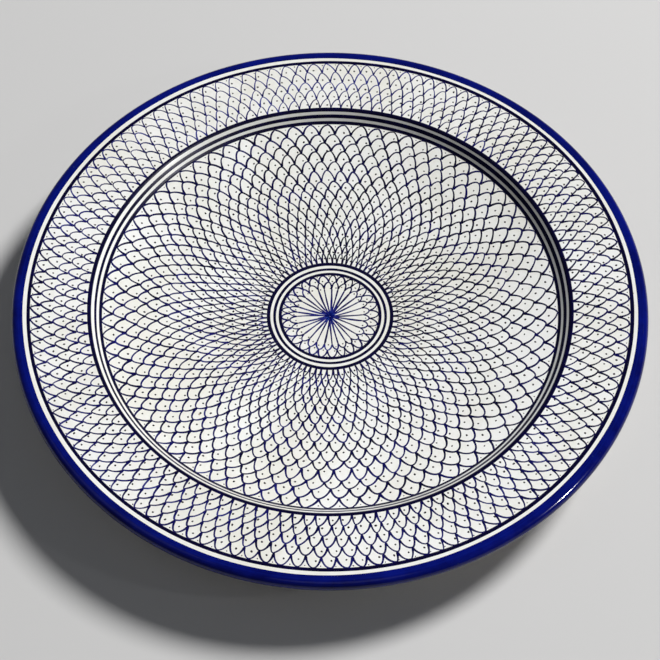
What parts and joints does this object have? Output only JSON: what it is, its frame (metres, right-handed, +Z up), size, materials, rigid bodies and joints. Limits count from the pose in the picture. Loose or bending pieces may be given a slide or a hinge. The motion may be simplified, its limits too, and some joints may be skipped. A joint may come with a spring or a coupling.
{
  "type": "ceramic plate",
  "caption": "Large round glazed ceramic plate with a broad flange, a stepped shallow well and a bare foot ring, painted with fish scales in blue on white.",
  "frame": {"origin": "centre of the circle that the foot ring rests on, at the ground", "axes": "+Z up along the axis that the plate was turned on, out of the face; X and Y in the plane of the ground"},
  "size_m": [0.364, 0.364, 0.0412],
  "materials": {
    "body_clay": "biscuit fired buff clay, fully covered by glaze",
    "foot_clay": "bare biscuit, matt, rubbed smooth at the ground",
    "white_glaze": "glossy creamy white tin glaze",
    "back_white_glaze": "glossy creamy white tin glaze, thinner and less even",
    "cobalt_glaze": "very glossy deep cobalt blue",
    "line_pigment": "blue black brushed pigment sunk in the glaze, glossy"
  },
  "bodies": {
    "root": {"clay_body": "body_clay", "foot_ring": "foot_clay", "face_glaze": "white_glaze", "rim_glaze": "cobalt_glaze", "back_glaze": "back_white_glaze", "foot_well_glaze": "back_white_glaze", "rim_line": "line_pigment", "flange_line": "line_pigment", "step_line": "line_pigment", "well_line": "line_pigment", "medallion_outer_line": "line_pigment", "medallion_middle_line": "line_pigment", "medallion_inner_line": "line_pigment"}
  },
  "joints": []
}
